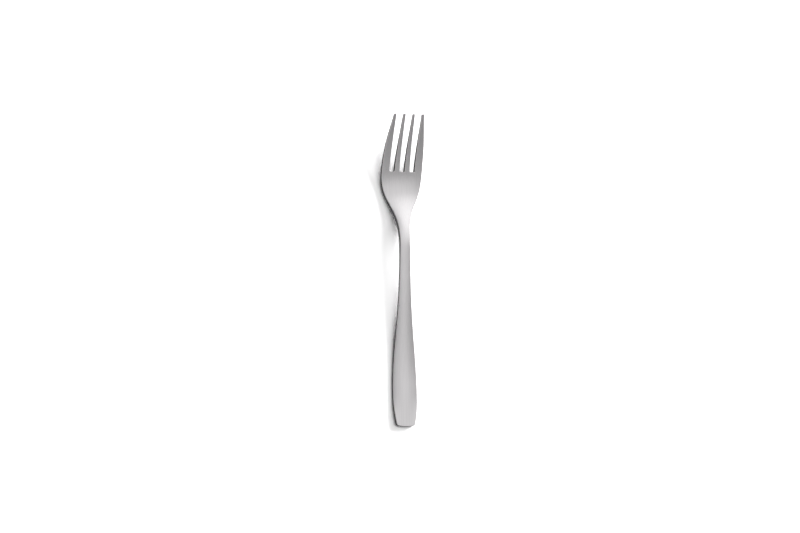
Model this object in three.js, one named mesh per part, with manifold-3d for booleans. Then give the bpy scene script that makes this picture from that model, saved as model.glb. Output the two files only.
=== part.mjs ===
import * as THREE from 'three';
import Module from 'manifold-3d';

// Dessert fork, one piece of satin stainless steel: a blank is cut from sheet, pressed to its side curve, and
// pierced between the tines. It lies face up on a table at z = 0, with Y running from the handle end to the
// tine tips. Sizes are in millimetres. Places along the fork are measured from the handle end, and
// thicknesses upright.

// Lengths along the fork
const handleLength = 111; // handle end to the narrowest place of the neck
const shoulderLength = 41.2; // neck to the slot roots, where the head is widest
const tineLength = 32.8; // slot roots to the tine tips

// Outline from above
const endWidth = 11;
const endFlare = 0.26; // how fast each side spreads as it leaves the handle end
const endBow = 0.65; // how far the end edge bows out past its corners
const endCorner = 0.9;
const gripWidth = 15.1;
const gripAt = 19;
const neckWidth = 6.2;
const headWidth = 25.4;
const tineDraw = 0.14; // how fast the outer tines draw inward at their tips
const gripFullness = 0.32;
const neckFullness = 0.56;
const headFullness = 0.5;

// Side curve of the underside
const restLength = 26; // flat stretch of the handle that lies on the table
const archHeight = 5.2;
const archBack = 4; // top of the arch, back from the neck
const bowlBack = 12.2; // lowest place of the bowl, back from the slot roots
const tipRise = 17.6;
const tipSlope = 0.5;

// Thickness at the side edges, and how much higher the face is along the middle
const endThickness = 2.1;
const neckThickness = 2.1;
const rootThickness = 2.8;
const tipThickness = 1.45;
const gripCrown = 0.75;
const neckCrown = 0.2;
const shoulderCrown = 0.6;
const bowlCrown = 0.55;
const arris = 0.25; // radius that eases every edge

// Tines and the slots pierced between them
const tineCount = 4;
const tineRootWidth = 3.2; // of an inner tine
const tineTipWidth = 1.35;
const slotRootWidth = 3.2;
const slotTipWidth = 4.5;
const slotCorner = 0.6;
const tipRound = 0.55; // radius of each corner of a tine's tip, seen from above

// Fineness of the facets
const curveSteps = 60;
const arcSteps = 3;
const crownSteps = 6;
const gripSteps = 6;
const handleSteps = 24;
const shoulderSteps = 26;
const tineSteps = 16;
const punchClearance = 3; // how far a punch stands past the faces that it pierces

// Places that follow from the lengths
const rootAt = handleLength + shoulderLength;
const length = rootAt + tineLength;
const slotCount = tineCount - 1;
const tipsWidth = slotCount * slotTipWidth + tineCount * tineTipWidth;
const thirdFull = 1 / 3; // fullness that makes a plain cubic

function knot(at, value, slope = 0, fullness = thirdFull) {
  return { at, value, slope, fullness };
}

// One cubic stretch between two knots, its handles laid along each knot's slope.
function stretch(from, to) {
  const span = to.at - from.at;
  const lead = from.fullness * span;
  const trail = to.fullness * span;
  return new THREE.CubicBezierCurve(
    new THREE.Vector2(from.at, from.value),
    new THREE.Vector2(from.at + lead, from.value + from.slope * lead),
    new THREE.Vector2(to.at - trail, to.value - to.slope * trail),
    new THREE.Vector2(to.at, to.value),
  );
}

// A smooth law along the fork through its knots, read off at any place.
function law(...knots) {
  const path = new THREE.CurvePath();
  for (let i = 1; i < knots.length; i += 1) {
    path.add(stretch(knots[i - 1], knots[i]));
  }
  const points = path.getPoints(curveSteps);
  return (at) => {
    const place = THREE.MathUtils.clamp(at, points[0].x, points.at(-1).x);
    const next = Math.max(points.findIndex((point) => point.x >= place), 1);
    const from = points[next - 1];
    const to = points[next];
    return THREE.MathUtils.mapLinear(place, from.x, to.x, from.y, to.y);
  };
}

const sideLaw = law(
  knot(0, endWidth / 2, endFlare),
  knot(gripAt, gripWidth / 2, 0, gripFullness),
  knot(handleLength, neckWidth / 2, 0, neckFullness),
  knot(rootAt, headWidth / 2, 0, headFullness),
  knot(length, tipsWidth / 2, -tineDraw),
);
const underside = law(
  knot(0, 0),
  knot(restLength, 0),
  knot(handleLength - archBack, archHeight),
  knot(rootAt - bowlBack, 0),
  knot(length, tipRise, tipSlope),
);
const thickness = law(
  knot(0, endThickness),
  knot(handleLength, neckThickness),
  knot(rootAt, rootThickness),
  knot(length, tipThickness),
);
const crown = law(
  knot(0, gripCrown),
  knot(gripAt, gripCrown),
  knot(handleLength, neckCrown),
  knot(handleLength + shoulderLength / 3, shoulderCrown),
  knot(rootAt - bowlBack, bowlCrown),
  knot(rootAt, 0),
  knot(length, 0),
);

// What a quarter-round of this radius takes off, at a distance inside the edge that it rounds.
function rounding(radius, inside) {
  const past = THREE.MathUtils.clamp(radius - inside, 0, radius);
  return radius - Math.sqrt(radius ** 2 - past ** 2);
}

// Evenly spaced values, the first left out so that runs can follow one another.
function run(from, to, steps) {
  return Array.from({ length: steps }, (_, i) => THREE.MathUtils.lerp(from, to, (i + 1) / steps));
}

// Angles of a quarter-circle, from 0 to a right angle.
const quarter = [0, ...run(0, Math.PI / 2, arcSteps)];

// A closed skin over rings of points. Each ring runs out along one row and back along the facing row, so the
// end faces are strips between the two rows.
function loft(rings) {
  const count = rings[0].length;
  const last = (rings.length - 1) * count;
  const triangles = [];
  for (let start = 0; start < last; start += count) {
    for (let j = 0; j < count; j += 1) {
      const a = start + j;
      const b = start + ((j + 1) % count);
      triangles.push(a, b, b + count, a, b + count, a + count);
    }
  }
  for (let b = 1; b < count / 2; b += 1) {
    const a = b - 1;
    const c = count - 1 - b;
    const d = count - b;
    triangles.push(a, d, c, a, c, b);
    triangles.push(last + a, last + b, last + c, last + a, last + c, last + d);
  }
  const geometry = new THREE.BufferGeometry().setFromPoints(rings.flat());
  geometry.setIndex(triangles);
  return geometry;
}

// Half the outline's width, with the handle end's corners and the outer tines' tips rounded.
function halfWidth(at) {
  return sideLaw(at) - rounding(endCorner, at) - rounding(tipRound, length - at);
}

// One section of the blank: along its crowned face from left to right, and back along its flat underside.
function section(at) {
  const half = halfWidth(at);
  const flat = half - arris;
  const arc = quarter.map((angle) => flat + arris * Math.sin(angle));
  const across = [...arc.map((x) => -x).reverse(), ...run(-flat, flat, crownSteps), ...arc.slice(1)];
  const bow = (endBow * Math.max(1 - at / gripAt, 0) ** 2) / (endWidth / 2) ** 2;
  const insideEnd = Math.min(at, length - at);
  const rows = across.map((x) => {
    const past = Math.hypot(Math.max(Math.abs(x) - flat, 0), Math.max(arris - insideEnd, 0));
    const eased = rounding(arris, arris - past);
    const face = underside(at) + thickness(at) + crown(at) * (1 - (x / half) ** 2);
    const y = at + bow * x ** 2;
    return [new THREE.Vector3(x, y, face - eased), new THREE.Vector3(x, y, underside(at) + eased)];
  });
  return [...rows.map(([top]) => top), ...rows.map(([, bottom]) => bottom).reverse()];
}

function blank() {
  const places = [
    ...quarter.map((angle) => endCorner * (1 - Math.cos(angle))),
    ...run(endCorner, restLength, gripSteps),
    ...run(restLength, handleLength, handleSteps),
    ...run(handleLength, rootAt + slotCorner, shoulderSteps),
    ...run(rootAt + slotCorner, length - tipRound, tineSteps),
    ...quarter.slice(1).map((angle) => length - tipRound * (1 - Math.sin(angle))),
  ];
  return loft(places.map(section));
}

// One edge of a slot, as distances from the slot's middle and places along the fork, with the slot opened out
// by the given spread: a rounded corner at the root, a straight side, and a turn outward at the tine's tip.
function slotEdge(spread) {
  const corner = slotCorner + spread;
  const tip = tipRound - spread;
  const side = (at) => {
    return THREE.MathUtils.mapLinear(at, rootAt, length, slotRootWidth, slotTipWidth) / 2 + spread;
  };
  const rootPlaces = quarter.map((angle) => [
    rootAt + slotCorner - corner * Math.cos(angle),
    -corner * (1 - Math.sin(angle)),
  ]);
  const sidePlaces = run(rootAt + slotCorner, length - tipRound, tineSteps).map((at) => [at, 0]);
  const tipPlaces = quarter.slice(1).map((angle) => [
    length - tipRound + tip * Math.sin(angle),
    tip * (1 - Math.cos(angle)),
  ]);
  const beyond = [length + punchClearance, tip];
  return [...rootPlaces, ...sidePlaces, ...tipPlaces, beyond].map(([at, out]) => [side(at) + out, at]);
}

// The punch for one slot: levels of the same slot outline that follow the pressed faces, opened out where they
// near a face so that the slot's edges come out eased.
function slotPunch(index) {
  const offset = index - (slotCount - 1) / 2;
  const middle = (at) => {
    const rootPitch = tineRootWidth + slotRootWidth;
    const tipPitch = tineTipWidth + slotTipWidth;
    return offset * THREE.MathUtils.mapLinear(at, rootAt, length, rootPitch, tipPitch);
  };
  const face = (at) => underside(at) + thickness(at);
  const level = (spread, height) => {
    const edge = slotEdge(spread);
    const right = edge.map(([out, at]) => new THREE.Vector3(middle(at) + out, at, height(at)));
    const left = edge.map(([out, at]) => new THREE.Vector3(middle(at) - out, at, height(at)));
    return [...right, ...left.reverse()];
  };
  const eased = quarter.map((angle) => [arris * (1 - Math.cos(angle)), arris * (1 - Math.sin(angle))]);
  return loft([
    level(arris, (at) => underside(at) - punchClearance),
    ...eased.toReversed().map(([spread, depth]) => level(spread, (at) => underside(at) + depth)),
    ...eased.map(([spread, depth]) => level(spread, (at) => face(at) - depth)),
    level(arris, (at) => face(at) + punchClearance),
  ]);
}

const wasm = await Module();
wasm.setup();

function solid(geometry) {
  const vertProperties = geometry.getAttribute('position').array;
  const triVerts = new Uint32Array(geometry.getIndex().array);
  return new wasm.Manifold(new wasm.Mesh({ numProp: 3, vertProperties, triVerts }));
}

function pierced() {
  let fork = solid(blank());
  for (let index = 0; index < slotCount; index += 1) {
    fork = fork.subtract(solid(slotPunch(index)));
  }
  const { vertProperties, triVerts } = fork.getMesh();
  const geometry = new THREE.BufferGeometry();
  geometry.setAttribute('position', new THREE.BufferAttribute(vertProperties, 3));
  geometry.setIndex(new THREE.BufferAttribute(triVerts, 1));
  geometry.computeVertexNormals();
  return geometry;
}

const satinSteel = new THREE.MeshStandardMaterial({ color: 0xbab8b4, roughness: 0.35, metalness: 1 });

const dessertFork = new THREE.Mesh(pierced(), satinSteel);
dessertFork.name = 'dessert_fork';
dessertFork.position.y = -length / 2; // the origin lies under the middle of the fork

const fork = new THREE.Group();
fork.add(dessertFork);

export default fork;
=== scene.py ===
# %% [markdown]
# # A dessert fork in satin steel
#
# A dessert fork is one piece of stainless steel. A blank is cut from sheet, pierced between the tines,
# pressed to its side curve and polished with a fine belt. This lesson builds that one piece as a smooth
# surface, gives it the belt's satin finish, lays it on a white table and lights it softly.
#
# The imported solid is loaded first. It fixes the place and the size of everything that follows, and its
# box is noted now: it gives the fork's length, and the finished fork's points are held inside it.

# %% The imported fork
import math

import bpy
import numpy as np
from mathutils import Matrix, Vector


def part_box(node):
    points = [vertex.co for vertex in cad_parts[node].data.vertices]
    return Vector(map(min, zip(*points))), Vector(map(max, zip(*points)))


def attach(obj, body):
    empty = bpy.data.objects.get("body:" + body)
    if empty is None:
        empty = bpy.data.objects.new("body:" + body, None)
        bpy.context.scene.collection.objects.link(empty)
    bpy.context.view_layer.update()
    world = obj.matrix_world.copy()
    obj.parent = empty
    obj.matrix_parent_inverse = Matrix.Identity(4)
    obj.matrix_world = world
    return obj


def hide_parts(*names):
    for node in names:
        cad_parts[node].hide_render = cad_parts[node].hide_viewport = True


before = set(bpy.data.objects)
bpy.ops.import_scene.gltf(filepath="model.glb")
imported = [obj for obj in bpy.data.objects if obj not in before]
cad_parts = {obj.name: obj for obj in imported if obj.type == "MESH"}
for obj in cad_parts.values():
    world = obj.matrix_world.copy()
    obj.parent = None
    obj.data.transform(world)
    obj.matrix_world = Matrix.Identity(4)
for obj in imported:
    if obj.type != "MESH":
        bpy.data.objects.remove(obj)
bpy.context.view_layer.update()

MM = 0.001  # metres in a millimetre
fork_low, fork_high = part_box("dessert_fork")
print("packed fork, mm:", [round(side / MM, 1) for side in fork_high - fork_low])

# %% [markdown]
# ## Sizes that a maker would measure
#
# A maker with a rule and a pair of calipers would note where the fork is widest and narrowest, how thick
# it is there, and how high it stands. Places are measured along the fork from the end of the handle. The
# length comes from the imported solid. The outline, the side curve and the slots repeat the sizes that the
# solid was drawn with. The thickness and the crown depart from it by less than a millimetre, to follow
# the way the photograph's metal is shaded.

# %% Sizes along the fork, in millimetres
LENGTH = (fork_high - fork_low).y / MM
HANDLE_LENGTH = 111.0  # handle end to the narrowest place of the neck
SHOULDER_LENGTH = 41.2  # neck to the slot roots, where the head is widest
ROOT = HANDLE_LENGTH + SHOULDER_LENGTH
GRIP_AT = 19.0  # widest place of the handle
SHOULDER_AT = HANDLE_LENGTH + SHOULDER_LENGTH / 3
print("slot roots at, mm:", ROOT, "and tips at, mm:", round(LENGTH, 1))

# %% [markdown]
# ## Laws along the fork
#
# A fork changes slowly from end to end, so a few laws along its length describe it: how wide it is, how
# high its underside lies, how thick it is and how much its face is crowned. The outline could also be
# drawn as a Bezier curve object and given thickness, but then the pressed side curve would need a second
# tool. A law is a chain of cubic curves through the measured places. It stays smooth, and any of its
# sizes can be changed alone.


# %% Knots and laws
CURVE_POINTS = 200  # along each stretch between two knots
PLAIN_FULLNESS = 1 / 3  # handles a third of the span long make a plain cubic


def knot(at, value, slope=0.0, fullness=PLAIN_FULLNESS):
    """A place along the fork where a law has this value and slope."""
    return at, value, slope, fullness


def law(*knots):
    """Between two knots the curve is a cubic Bezier. Its handles lie along each knot's slope and reach
    the knot's fullness times the span. The returned function reads the curve off at a whole array of
    places."""
    t = np.linspace(0.0, 1.0, CURVE_POINTS)
    weights = np.stack([(1 - t) ** 3, 3 * t * (1 - t) ** 2, 3 * t**2 * (1 - t), t**3], axis=1)
    stretches = []
    for (at0, value0, slope0, full0), (at1, value1, slope1, full1) in zip(knots, knots[1:]):
        lead = full0 * (at1 - at0)
        trail = full1 * (at1 - at0)
        places = [at0, at0 + lead, at1 - trail, at1]
        values = [value0, value0 + slope0 * lead, value1 - slope1 * trail, value1]
        stretches.append(weights @ np.stack([places, values], axis=1))
    curve = np.concatenate(stretches)
    return lambda at: np.interp(at, curve[:, 0], curve[:, 1])


print("a law halfway between 0 and 10:", round(float(law(knot(0, 0), knot(1, 10))(0.5)), 2))

# %% [markdown]
# ## Outline and side curve
#
# Seen from above, the handle starts at a narrow end, swells to the grip, draws in to a slim neck and
# opens out into the head. Seen from the side, the handle lies flat, the neck arches off the table, the
# bowl comes down to touch it again and the tines sweep up.

# %% Outline from above
END_WIDTH = 11.0
END_FLARE = 0.26  # how fast each side spreads as it leaves the handle end
GRIP_WIDTH = 15.1
NECK_WIDTH = 6.2
HEAD_WIDTH = 25.4
TINE_COUNT = 4
SLOT_COUNT = TINE_COUNT - 1
TINE_TIP_WIDTH = 1.35
SLOT_TIP_WIDTH = 4.5
TINE_DRAW = 0.14  # how fast the outer tines draw inward at their tips
GRIP_FULLNESS = 0.32
NECK_FULLNESS = 0.56
HEAD_FULLNESS = 0.5
TIPS_WIDTH = SLOT_COUNT * SLOT_TIP_WIDTH + TINE_COUNT * TINE_TIP_WIDTH

side_law = law(
    knot(0, END_WIDTH / 2, END_FLARE),
    knot(GRIP_AT, GRIP_WIDTH / 2, fullness=GRIP_FULLNESS),
    knot(HANDLE_LENGTH, NECK_WIDTH / 2, fullness=NECK_FULLNESS),
    knot(ROOT, HEAD_WIDTH / 2, fullness=HEAD_FULLNESS),
    knot(LENGTH, TIPS_WIDTH / 2, -TINE_DRAW),
)
print("width halfway along the handle, mm:", round(2 * float(side_law(HANDLE_LENGTH / 2)), 1))

# %% Side curve of the underside
REST_LENGTH = 26.0  # flat stretch of the handle that lies on the table
ARCH_BACK = 4.0  # top of the arch, back from the neck
ARCH_AT = HANDLE_LENGTH - ARCH_BACK
ARCH_HEIGHT = 5.2
BOWL_BACK = 12.2  # where the bowl touches the table, back from the slot roots
BOWL_AT = ROOT - BOWL_BACK
TIP_RISE = 17.6
TIP_SLOPE = 0.5

underside_law = law(
    knot(0, 0),
    knot(REST_LENGTH, 0),
    knot(ARCH_AT, ARCH_HEIGHT),
    knot(BOWL_AT, 0),
    knot(LENGTH, TIP_RISE, TIP_SLOPE),
)
print("underside above the table at the slot roots, mm:", round(float(underside_law(ROOT)), 2))

# %% [markdown]
# ## Thickness and crown
#
# The sheet is thickest at the shoulders, where a fork would bend first, and thinnest at the tips of the
# tines. The face of the handle and the shoulders is crowned: a little higher along the middle than at the
# edges, which is what draws the soft bands of light and shade along the metal. The handle's end is flat
# across, so there the edges rise as the crown fades.

# %% Thickness at the edges, and the extra height of the middle
END_THICKNESS = 2.9
HANDLE_THICKNESS = 2.1
THICKENS_AT = 90.0  # where the handle starts to grow thicker towards the shoulders
SHOULDER_THICKNESS = 3.2
ROOT_THICKNESS = 2.8
TIP_THICKNESS = 1.45
GRIP_CROWN = 0.9
NECK_CROWN = 0.2
SHOULDER_CROWN = 0.45
BOWL_CROWN = 0.5

thickness_law = law(
    knot(0, END_THICKNESS),
    knot(GRIP_AT, HANDLE_THICKNESS),
    knot(THICKENS_AT, HANDLE_THICKNESS),
    knot(SHOULDER_AT, SHOULDER_THICKNESS),
    knot(ROOT, ROOT_THICKNESS),
    knot(LENGTH, TIP_THICKNESS),
)
crown_law = law(
    knot(0, 0),
    knot(GRIP_AT, GRIP_CROWN),
    knot(HANDLE_LENGTH, NECK_CROWN),
    knot(SHOULDER_AT, SHOULDER_CROWN),
    knot(BOWL_AT, BOWL_CROWN),
    knot(ROOT, 0),
    knot(LENGTH, 0),
)
print("middle of the grip, mm thick:", float(thickness_law(GRIP_AT) + crown_law(GRIP_AT)))

# %% [markdown]
# ## The fork seen from above
#
# The surface is a grid of places. Rows run across the fork, and columns run along it like the grain of
# the metal: from the handle end through the neck, and out into the tines and the slots between them. The
# slots could be cut with a Boolean modifier, but that leaves long thin faces that shade badly along the
# eased edges. Here the columns already follow the slots' edges, so beyond the slot roots the slots' own
# cells are simply left out.

# %% Slots between the tines
TINE_ROOT_WIDTH = 3.2  # of an inner tine
SLOT_ROOT_WIDTH = 3.2
SLOT_CORNER = 0.6
SLOT_OFFSETS = np.arange(SLOT_COUNT) - (SLOT_COUNT - 1) / 2


def from_root_to_tip(at, at_root, at_tip):
    """A size that changes evenly from the slot roots to the tine tips."""
    return at_root + (at_tip - at_root) * (at - ROOT) / (LENGTH - ROOT)


def slot_middle(offset, at):
    """A slot's middle line: its number from the fork's middle times the pitch of the slots."""
    root_pitch = TINE_ROOT_WIDTH + SLOT_ROOT_WIDTH
    tip_pitch = TINE_TIP_WIDTH + SLOT_TIP_WIDTH
    return offset * from_root_to_tip(at, root_pitch, tip_pitch)


def slot_half(at):
    """Half a slot's width."""
    return from_root_to_tip(at, SLOT_ROOT_WIDTH, SLOT_TIP_WIDTH) / 2


print("slots at the roots, mm:", [round(float(slot_middle(offset, ROOT)), 2) for offset in SLOT_OFFSETS])

# %% [markdown]
# Rows and columns crowd together where an edge or a corner is rounded, spaced like the points of a
# quarter-circle seen from above. So a small radius gets enough points to look round, and the flat
# stretches stay light.

# %% Rows
END_CORNER = 0.9
TIP_ROUND = 0.55  # radius of each corner of a tine's tip
ARRIS = 0.25  # radius that eases every edge
ARRIS_STEPS = 6  # across an eased edge, and round a slot's corner
END_STEPS = 14  # round the corners of the handle end
TIP_STEPS = 10  # round the tip of a tine
HANDLE_ROWS = 130  # handle end to neck
SHOULDER_ROWS = 80  # neck to slot roots
TINE_ROWS = 64  # slot roots to tips
DECIMALS = 6  # to which rows are rounded, so that no row comes twice
CLOSE = 1e-6  # places nearer than this count as one


def turn(steps):
    """Angles from 0 to a right angle."""
    return np.linspace(0.0, math.pi / 2, steps + 1)


rows = np.unique(np.round(np.concatenate([
    END_CORNER * (1 - np.cos(turn(END_STEPS))),
    np.linspace(END_CORNER, HANDLE_LENGTH, HANDLE_ROWS),
    np.linspace(HANDLE_LENGTH, ROOT - ARRIS, SHOULDER_ROWS),
    ROOT - ARRIS * np.cos(turn(ARRIS_STEPS)),
    ROOT + SLOT_CORNER * (1 - np.cos(turn(ARRIS_STEPS))),
    np.linspace(ROOT + SLOT_CORNER, LENGTH - TIP_ROUND, TINE_ROWS),
    LENGTH - TIP_ROUND * (1 - np.sin(turn(TIP_STEPS))),
]), DECIMALS))
root_row = int(np.searchsorted(rows, ROOT - CLOSE))
print(len(rows), "rows, with the slots open from row", root_row)


# %% Edges of the strips
def rounding(radius, inside):
    """What a quarter-round takes off at a distance inside the edge: radius minus a circle's height."""
    past = np.clip(radius - inside, 0.0, radius)
    return radius - np.sqrt(radius**2 - past**2)


def strip_edges(at):
    """Places of the tines' edges, from left to right. Past the roots they are the real edges, with each
    slot's and each tip's corners rounded. Before the roots they keep their share of the fork's width."""
    past_root = np.maximum(at, ROOT)
    half = side_law(at) - rounding(END_CORNER, at) - rounding(TIP_ROUND, LENGTH - at)
    open_half = slot_half(past_root) - rounding(SLOT_CORNER, past_root - ROOT)
    open_half = open_half + rounding(TIP_ROUND, LENGTH - past_root)
    shrink = np.where(at < ROOT, half / side_law(ROOT), 1.0)
    slots = [
        (slot_middle(offset, past_root) + way * open_half) * shrink
        for offset in SLOT_OFFSETS
        for way in (-1, 1)
    ]
    return np.stack([-half, *slots, half], axis=1)


edges = strip_edges(rows)
print("outer edges at the roots, mm:", edges[root_row, [0, -1]].round(2).tolist())

# %% Columns
TINE_COLUMNS = 6  # between a tine's two eased edges
SLOT_COLUMNS = 4
BUNCH = 1 - np.sin(turn(ARRIS_STEPS))[::-1]
TINE_EVEN = np.linspace(0, 1, TINE_COLUMNS + 2)[1:-1]
SLOT_EVEN = np.linspace(0, 1, SLOT_COLUMNS + 2)[1:-1]
EASE_LIMIT = 0.45  # of a tine's width, so that its two eased edges never meet


def columns(at, edges):
    """Each tine's strip has columns bunched within the arris of both its edges and even columns between.
    Each slot's strip has even columns. Also says for each column whether a slot lies to its right."""
    shrink = np.where(at < ROOT, edges[:, -1] / side_law(ROOT), 1.0)[:, None]
    parts = []
    opens_slot = []
    for tine in range(TINE_COUNT):
        left = edges[:, [2 * tine]]
        right = edges[:, [2 * tine + 1]]
        widest = EASE_LIMIT * (right - left)
        ease_left = np.minimum(ARRIS * (1 if tine == 0 else shrink), widest)
        ease_right = np.minimum(ARRIS * (1 if tine == SLOT_COUNT else shrink), widest)
        start = left + ease_left
        end = right - ease_right
        parts.append(left + ease_left * BUNCH)
        parts.append(start + (end - start) * TINE_EVEN)
        parts.append(right - ease_right * BUNCH[::-1])
        opens_slot += [False] * (2 * len(BUNCH) + len(TINE_EVEN) - 1) + [True]
        if tine < SLOT_COUNT:
            after = edges[:, [2 * tine + 2]]
            parts.append(right + (after - right) * SLOT_EVEN)
            opens_slot += [True] * len(SLOT_EVEN)
    return np.concatenate(parts, axis=1), np.array(opens_slot[:-1])


across, opens_slot = columns(rows, edges)
along = np.repeat(rows[:, None], across.shape[1], axis=1)
print("grid of", across.shape[0], "rows and", across.shape[1], "columns")

# %% [markdown]
# ## Faces with eased edges
#
# The face is the underside plus the thickness plus the crown. Near any edge it falls away in a quarter-
# round, and the underside rises in one, so every arris of the fork is eased as polishing leaves it. A
# Bevel modifier would ease them too, but its width would have to be tamed where the tines grow narrow.
# Here the fall depends only on how far a place lies inside the outline, and one rounded-corner distance
# serves the handle end, the slots and the tips alike.


# %% Distance inside the outline
def corner_distance(past_side, past_end, radius):
    """Signed distance to a corner between two straight edges, rounded with this radius and positive
    outside. The first two values are how far a place is past each of the two edges."""
    a = past_side + radius
    b = past_end + radius
    return np.hypot(np.maximum(a, 0), np.maximum(b, 0)) + np.minimum(np.maximum(a, b), 0) - radius


def tine_edges(at):
    """Both edges of each tine, from left to right, before their corners are rounded."""
    slots = [slot_middle(offset, at) + way * slot_half(at) for offset in SLOT_OFFSETS for way in (-1, 1)]
    places = [-side_law(at), *slots, side_law(at)]
    return zip(places[::2], places[1::2])


def inside_distance(x, at):
    """How far a place lies inside the outline: the least of its distances to the sides and the handle
    end, to every slot, and to the tips of the tines."""
    inside = -corner_distance(np.abs(x) - side_law(at), -at, END_CORNER)
    for offset in SLOT_OFFSETS:
        past_slot = np.abs(x - slot_middle(offset, at)) - slot_half(at)
        inside = np.minimum(inside, corner_distance(past_slot, ROOT - at, SLOT_CORNER))
    for left, right in tine_edges(at):
        past_tine = np.abs(x - (left + right) / 2) - (right - left) / 2
        on_tine = (at > ROOT) & (past_tine < CLOSE)
        tip = -corner_distance(past_tine, at - LENGTH, TIP_ROUND)
        inside = np.where(on_tine, np.minimum(inside, tip), inside)
    return np.maximum(inside, 0.0)


inside = inside_distance(across, along)
print("deepest place inside the outline, mm:", round(float(inside.max()), 2))

# %% Heights
END_BOW = 0.65  # how far the end edge bows out past its corners

half = edges[:, [-1]]
eased = rounding(ARRIS, inside)
underside = underside_law(along) + eased
face = underside_law(along) + thickness_law(along) + crown_law(along) * (1 - (across / half) ** 2) - eased
bow = END_BOW * np.maximum(1 - along / GRIP_AT, 0) ** 2 * (across / (END_WIDTH / 2)) ** 2
lengthwise = along + bow - LENGTH / 2
print("highest place, mm:", round(float(face.max()), 2))

# %% [markdown]
# ## One closed mesh
#
# The face and the underside use the same grid, so the walls between them start from the edges that only
# one cell uses: the two sides, the handle end, the slots and the tips. Joining those edges to the ones
# below closes the mesh. No point is doubled and no seam is left open, so smooth shading runs round every
# eased edge.


# %% Cells and rims
def grid_cells(row_count, column_count):
    """Corner numbers of every grid cell, turning anticlockwise seen from above."""
    number = np.arange(row_count * column_count).reshape(row_count, column_count)
    return np.stack([number[:-1, :-1], number[:-1, 1:], number[1:, 1:], number[1:, :-1]], axis=-1)


def rim_edges(cells):
    """Edges that only one cell uses, each in its cell's own direction."""
    pairs = np.stack([cells, np.roll(cells, -1, axis=1)], axis=-1).reshape(-1, 2)
    _, first, count = np.unique(np.sort(pairs, axis=1), axis=0, return_index=True, return_counts=True)
    return pairs[first[count == 1]]


is_gap = opens_slot[None, :] & (np.arange(len(rows) - 1)[:, None] >= root_row)
top_cells = grid_cells(*across.shape)[~is_gap]
below = across.size  # an underside point's number is its face point's number plus this
under_cells = top_cells[:, ::-1] + below
rim = rim_edges(top_cells)
wall_cells = np.stack([rim[:, 0], rim[:, 0] + below, rim[:, 1] + below, rim[:, 1]], axis=1)
print(len(top_cells), "cells on the face and", len(wall_cells), "on the walls")

# %% The fork's mesh
points = np.concatenate([
    np.stack([across, lengthwise, face], axis=-1).reshape(-1, 3),
    np.stack([across, lengthwise, underside], axis=-1).reshape(-1, 3),
]) * MM
used, cells = np.unique(np.concatenate([top_cells, under_cells, wall_cells]), return_inverse=True)
cells = cells.reshape(-1, 4)
points = np.clip(points[used], fork_low, fork_high)

fork_mesh = bpy.data.meshes.new("satin_fork")
fork_mesh.from_pydata(points, [], cells)
fork_mesh.shade_smooth()
fork = bpy.data.objects.new("satin_fork", fork_mesh)
bpy.context.scene.collection.objects.link(fork)
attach(fork, "root")
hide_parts("dessert_fork")
print("fork mesh:", len(points), "points,", 2 * len(cells), "triangles")

# %% [markdown]
# ## Faces, walls and painted shade
#
# A polishing belt smooths the faces and just turns over their edges, and the walls keep the rougher,
# torn grain that the blanking die left. The walls' colour is also darkened as painted shade, which stands
# in for the dark that they mirror, and deep between the tines, near the slot roots, it is painted darker
# still as painted shade in the slots. Two numbers on every point carry this to the material: how much it
# belongs to a face, and how deep it lies in the slots' painted shade. A second material on the walls would
# do as well, but it would change at a hard line.

# %% Shares for the finish and for the painted shade
BELT_TURN = 0.3 * ARRIS  # how far in from an edge the belt's polish is complete and the walls' painted shade gives way to the face's tone
SLOT_SHADE_REACH = 22.0  # this far out from the roots, the painted shade on the slots' walls fades to that of any other wall

face_share = np.clip(inside / BELT_TURN, 0, 1)
# Painted shade on the slots' walls: darkest at the slot roots, fading out along the tines.
in_slot = (along >= ROOT - ARRIS) & (side_law(along) - np.abs(across) > ARRIS)
slot_shade_share = np.where(in_slot, np.clip(1 - (along - ROOT) / SLOT_SHADE_REACH, 0, 1), 0.0)
for name, values in {"face_share": face_share, "slot_shade_share": slot_shade_share}.items():
    layer = fork_mesh.attributes.new(name, "FLOAT", "POINT")
    layer.data.foreach_set("value", np.tile(values.ravel(), 2)[used])
print("shares for the finish on", len(used), "points")

# %% [markdown]
# ## Satin steel
#
# The metal is stainless steel that a fine belt has brushed lengthwise. The eye sees a pale neutral grey,
# faint lines along the fork, and surroundings that are mirrored but too blurred to make out. Colours are
# written as hex codes, as a colour picker shows them, and one function turns them to the linear values
# that a shader wants. One more function adds a node, sets it and links it.


# %% Colours and nodes
def linear(hex_code):
    """An sRGB hex colour as linear red, green, blue and alpha."""
    srgb = np.array([int(hex_code[i : i + 2], 16) for i in (1, 3, 5)]) / 255
    values = np.where(srgb <= 0.04045, srgb / 12.92, ((srgb + 0.055) / 1.055) ** 2.4)
    return (*values.tolist(), 1.0)


def add(tree, kind, inputs=None, **settings):
    """Adds a node with its settings. Each input is a value, or another node's output to link."""
    node = tree.nodes.new(kind)
    for name, value in settings.items():
        setattr(node, name, value)
    for name, value in (inputs or {}).items():
        if isinstance(value, bpy.types.NodeSocket):
            tree.links.new(value, node.inputs[name])
        else:
            node.inputs[name].default_value = value
    return node


def clear_tree(owner):
    """The owner's node tree, emptied."""
    owner.use_nodes = True
    owner.node_tree.nodes.clear()
    return owner.node_tree


print("mid grey #808080 in linear light:", round(linear("#808080")[0], 3))

# %% [markdown]
# The belt's lines come from noise that is stretched along the fork. A real belt line is a few hundredths
# of a millimetre wide, which is far finer than a pixel here, so the lines are drawn coarser to show at
# all.

# %% Belt lines
BELT_LINE_WIDTH = 0.4 * MM  # drawn about ten times coarser than real
BELT_LINE_LENGTH = 40 * MM
BELT_DETAIL = 3.0  # how many finer layers of lines lie over the widest
BELT_FINENESS = 0.6  # how strong each finer layer is beside the one before

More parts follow.
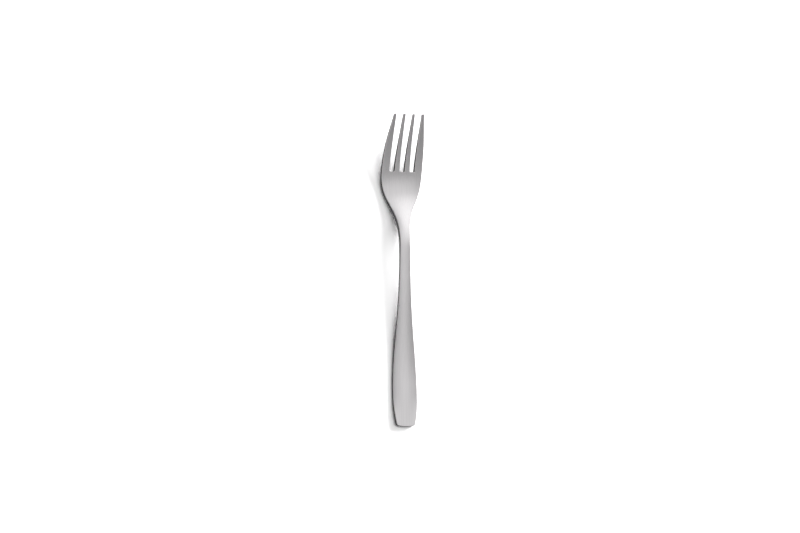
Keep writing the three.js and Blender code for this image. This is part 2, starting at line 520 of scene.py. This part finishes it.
steel = bpy.data.materials.new("satin_stainless_steel")
tree = clear_tree(steel)
place = add(tree, "ShaderNodeTexCoord").outputs["Object"]
stretched = add(tree, "ShaderNodeMapping", {
    "Vector": place,
    "Scale": (1 / BELT_LINE_WIDTH, 1 / BELT_LINE_LENGTH, 1 / BELT_LINE_WIDTH),
}).outputs["Vector"]
brush = add(tree, "ShaderNodeTexNoise", {
    "Vector": stretched, "Scale": 1.0, "Detail": BELT_DETAIL, "Roughness": BELT_FINENESS,
}).outputs["Fac"]
print("belt lines, mm:", BELT_LINE_WIDTH / MM, "by", BELT_LINE_LENGTH / MM)

# %% [markdown]
# Each tone runs between a darker and a lighter line. Polished steel throws back between a half and two
# thirds of the light. The walls' tones are painted shade: much darker than the faces, standing in for the
# dark that the walls mirror, and darker still deep in the slots. The shares made above choose between
# them. In a colour Mix node, inputs 6 and 7 are the two colours and output 2 is the result.

# %% Tones of the faces, and of the painted shade on the walls and in the slots
TONES = {
    "polished": ("#BBB9BA", "#D3D1D2"),
    "painted_wall_shade": ("#545354", "#646364"),
    "painted_slot_shade": ("#1C1B1C", "#262526"),
}
tones = {
    name: add(tree, "ShaderNodeMix", {
        0: brush, 6: linear(dark), 7: linear(light),
    }, data_type="RGBA").outputs[2]
    for name, (dark, light) in TONES.items()
}
on_face = add(tree, "ShaderNodeAttribute", attribute_name="face_share").outputs["Fac"]
in_slot_shade = add(tree, "ShaderNodeAttribute", attribute_name="slot_shade_share").outputs["Fac"]
# The walls' tone is painted shade, darkest in the slots near their roots.
wall_shade_tone = add(tree, "ShaderNodeMix", {
    0: in_slot_shade, 6: tones["painted_wall_shade"], 7: tones["painted_slot_shade"],
}, data_type="RGBA").outputs[2]
steel_tone = add(tree, "ShaderNodeMix", {
    0: on_face, 6: wall_shade_tone, 7: tones["polished"],
}, data_type="RGBA").outputs[2]
print("tones of steel:", ", ".join(TONES))

# %% [markdown]
# Roughness decides how blurred the mirrored surroundings are. Satin steel lies near 0.3, a little rougher
# in some lines than in others, and the torn walls are about twice as rough. A very light bump lets the
# lines catch light.

# %% Finish of the steel
BELT_DEPTH = 0.03 * MM
BELT_BUMP = 0.08  # strength of the bump
SMOOTH_LINE = 0.27  # roughness of the smoothest belt lines
ROUGH_LINE = 0.35  # roughness of the roughest
NOISE_LOW = 0.25  # nearly all of the noise lies between these two
NOISE_HIGH = 0.75
WALL_ROUGHNESS = 0.65

belt_roughness = add(tree, "ShaderNodeMapRange", {
    "Value": brush,
    "From Min": NOISE_LOW,
    "From Max": NOISE_HIGH,
    "To Min": SMOOTH_LINE,
    "To Max": ROUGH_LINE,
}).outputs["Result"]
roughness = add(tree, "ShaderNodeMix", {0: on_face, 2: WALL_ROUGHNESS, 3: belt_roughness}).outputs[0]
lines = add(tree, "ShaderNodeBump", {
    "Strength": BELT_BUMP, "Distance": BELT_DEPTH, "Height": brush,
}).outputs["Normal"]
shader = add(tree, "ShaderNodeBsdfPrincipled", {
    "Base Color": steel_tone, "Metallic": 1.0, "Roughness": roughness, "Normal": lines,
})
add(tree, "ShaderNodeOutputMaterial", {"Surface": shader.outputs["BSDF"]})
fork_mesh.materials.append(steel)
print("finish:", steel.name)

# %% [markdown]
# ## A white table
#
# The fork lies on plain white paper. The photograph is exposed until the paper is quite white and only
# the shadow that hugs the fork is left. More light would do that, but it would fall on the fork too.
# Instead, the Light Path node tells the paper which rays come from the camera or from a mirroring
# surface, and to those alone it shows a colour half as bright again. The shadow stays, because that
# colour is still lit by the lamps.

# %% Table
TABLE_REACH = 3.0  # metres from the middle to each side
EXPOSED = 1.5  # times as bright as white paper, to the camera and in the steel

corners = [(x * TABLE_REACH, y * TABLE_REACH, 0) for x, y in ((-1, -1), (1, -1), (1, 1), (-1, 1))]
table_mesh = bpy.data.meshes.new("table")
table_mesh.from_pydata(corners, [], [(0, 1, 2, 3)])
table = bpy.data.objects.new("table", table_mesh)
bpy.context.scene.collection.objects.link(table)

paper = bpy.data.materials.new("white_paper")
tree = clear_tree(paper)
rays = add(tree, "ShaderNodeLightPath").outputs
seen = rays["Is Camera Ray"]
for kind in ("Is Glossy Ray", "Is Transmission Ray"):
    seen = add(tree, "ShaderNodeMath", {0: seen, 1: rays[kind]}, operation="MAXIMUM").outputs["Value"]
plain = add(tree, "ShaderNodeBsdfDiffuse", {"Color": linear("#FBFBFB")})
exposed = add(tree, "ShaderNodeBsdfDiffuse", {"Color": (EXPOSED, EXPOSED, EXPOSED, 1.0)})
shader = add(tree, "ShaderNodeMixShader", {0: seen, 1: plain.outputs["BSDF"], 2: exposed.outputs["BSDF"]})
add(tree, "ShaderNodeOutputMaterial", {"Surface": shader.outputs["Shader"]})
table_mesh.materials.append(paper)
print("table, metres across:", 2 * TABLE_REACH)

# %% [markdown]
# ## Lamps for the table
#
# Two broad lamps stand to the right, one high and one low, and together they bring plain white paper to
# plain white. They are Sun lamps with a wide angle, which act like softboxes far away: their shadow is
# dark at the foot of the fork and fades away from it. The high lamp draws the dark line along the foot,
# and the low lamp the paler band beside it. The steel doesn't mirror them, so the table's shadow and the
# steel's sheen can be set one at a time.


# %% Lamps
def toward(azimuth, elevation):
    """Unit direction, from the angle round from +X towards +Y and the angle above the table, in degrees."""
    around = math.radians(azimuth)
    above = math.radians(elevation)
    flat = math.cos(above)
    return Vector((math.cos(around) * flat, math.sin(around) * flat, math.sin(above)))


def lamp(name, direction, spread, level):
    """A distant round lamp, spread degrees across. At level 1 it alone makes white paper on the table
    render white: its energy is the level times pi, over the sine of its elevation."""
    data = bpy.data.lights.new(name, "SUN")
    data.angle = math.radians(spread)
    data.energy = level * math.pi / direction.z
    made = bpy.data.objects.new(name, data)
    made.rotation_mode = "QUATERNION"
    made.rotation_quaternion = direction.to_track_quat("Z", "Y")
    made.visible_glossy = False
    bpy.context.scene.collection.objects.link(made)
    print(name, "energy:", round(data.energy, 2))


lamp("overhead_lamp", toward(azimuth=20, elevation=73), spread=56, level=0.5)
lamp("side_lamp", toward(azimuth=38, elevation=22), spread=30, level=0.5)

# %% [markdown]
# ## What the steel mirrors
#
# Metal has no colour of its own to show until it mirrors something. A studio is a dim room with a few
# large pale things in it, and each lights up the parts of the fork that tilt towards it. An image of a
# studio could be wrapped round the scene, but soft round glows need no file and are easy to move. The
# world is hidden from diffuse rays, so these glows leave the table alone. The camera sees a white
# backdrop where the table ends.

# %% Glows
world = bpy.data.worlds.new("studio")
bpy.context.scene.world = world
world.cycles_visibility.diffuse = False
tree = clear_tree(world)
direction = add(tree, "ShaderNodeTexCoord").outputs["Generated"]


def glow(middle, reach, height, core=0):
    """Brightness by direction: the full height within core degrees of the middle, falling smoothly to
    nothing at reach degrees. The angle's cosine is the dot product of the two directions."""
    nearness = add(tree, "ShaderNodeVectorMath", {0: direction, 1: middle}, operation="DOT_PRODUCT")
    return add(tree, "ShaderNodeMapRange", {
        "Value": nearness.outputs["Value"],
        "From Min": math.cos(math.radians(reach)),
        "From Max": math.cos(math.radians(core)),
        "To Min": 0.0,
        "To Max": height,
    }, interpolation_type="SMOOTHSTEP").outputs["Result"]


glows = {
    "ceiling": glow(toward(azimuth=48, elevation=72), reach=29, height=0.63),
    "softbox for the shoulders": glow(toward(azimuth=51, elevation=27), reach=44, height=1.56),
    "front for the bowl": glow(toward(azimuth=-35, elevation=66), reach=30, height=0.25),
    "strip for the left edges": glow(toward(azimuth=195, elevation=46), reach=22, height=1.2),
    "card on the left": glow(toward(azimuth=210, elevation=22), reach=25, height=1.6),
    "pale walls all round": glow(toward(azimuth=0, elevation=-90), reach=112, height=0.45, core=88),
}
print("glows:", ", ".join(glows))

# %% Room and backdrop
ROOM_LEVEL = 0.378

strength = ROOM_LEVEL
for light in glows.values():
    strength = add(tree, "ShaderNodeMath", {0: strength, 1: light}, operation="ADD").outputs["Value"]
room = add(tree, "ShaderNodeBackground", {"Color": linear("#FFFFFF"), "Strength": strength})
backdrop = add(tree, "ShaderNodeBackground", {"Color": linear("#FFFFFF"), "Strength": 1.0})
surroundings = add(tree, "ShaderNodeMixShader", {
    0: add(tree, "ShaderNodeLightPath").outputs["Is Camera Ray"],
    1: room.outputs["Background"],
    2: backdrop.outputs["Background"],
})
add(tree, "ShaderNodeOutputWorld", {"Surface": surroundings.outputs["Shader"]})
bpy.context.scene.view_settings.view_transform = "Standard"
print("room level:", ROOM_LEVEL)

# %% [markdown]
# ## Camera
#
# The photograph looks down steeply from the left of the fork, with the tines pointing up the picture. A
# long lens far away keeps the fork's sides almost parallel, as they are in the photograph. Four things
# fix the camera: the direction that it looks from, how far away it stands, how many pixels a millimetre
# takes, and the pixel where the place on the table under the fork's middle lies.

# %% Camera direction
CAMERA_AZIMUTH = math.radians(-70.1)
CAMERA_ELEVATION = math.radians(67.46)
CAMERA_ROLL = math.radians(-1.21)

around = Vector((math.sin(CAMERA_AZIMUTH), -math.cos(CAMERA_AZIMUTH), 0))
back = around * math.cos(CAMERA_ELEVATION) + Vector((0, 0, math.sin(CAMERA_ELEVATION)))
up = (Vector((0, 1, 0)) - back * back.y).normalized()
right = up.cross(back)
tilted_right = right * math.cos(CAMERA_ROLL) + up * math.sin(CAMERA_ROLL)
tilted_up = up * math.cos(CAMERA_ROLL) - right * math.sin(CAMERA_ROLL)
print("camera looks from:", [round(part, 2) for part in back])

# %% Camera lens and place
IMAGE_WIDTH = 800
IMAGE_HEIGHT = 533
PIXELS_PER_MM = 1.6831  # on the table under the fork's middle
MIDDLE_PIXEL = (401.22, 272.32)
CAMERA_DISTANCE = 5.44  # metres
SENSOR_WIDTH = 36.0  # millimetres, as is the lens

camera_data = bpy.data.cameras.new("camera")
camera_data.sensor_width = SENSOR_WIDTH
camera_data.lens = PIXELS_PER_MM / MM * CAMERA_DISTANCE * SENSOR_WIDTH / IMAGE_WIDTH
offset_right = (IMAGE_WIDTH / 2 - MIDDLE_PIXEL[0]) / PIXELS_PER_MM * MM
offset_up = (MIDDLE_PIXEL[1] - IMAGE_HEIGHT / 2) / PIXELS_PER_MM * MM
camera_place = back * CAMERA_DISTANCE + tilted_right * offset_right + tilted_up * offset_up
camera = bpy.data.objects.new("camera", camera_data)
turned = Matrix((tilted_right, tilted_up, back)).transposed().to_4x4()
camera.matrix_world = Matrix.Translation(camera_place) @ turned
bpy.context.scene.collection.objects.link(camera)
bpy.context.scene.camera = camera
print("lens, mm:", round(camera_data.lens, 1))
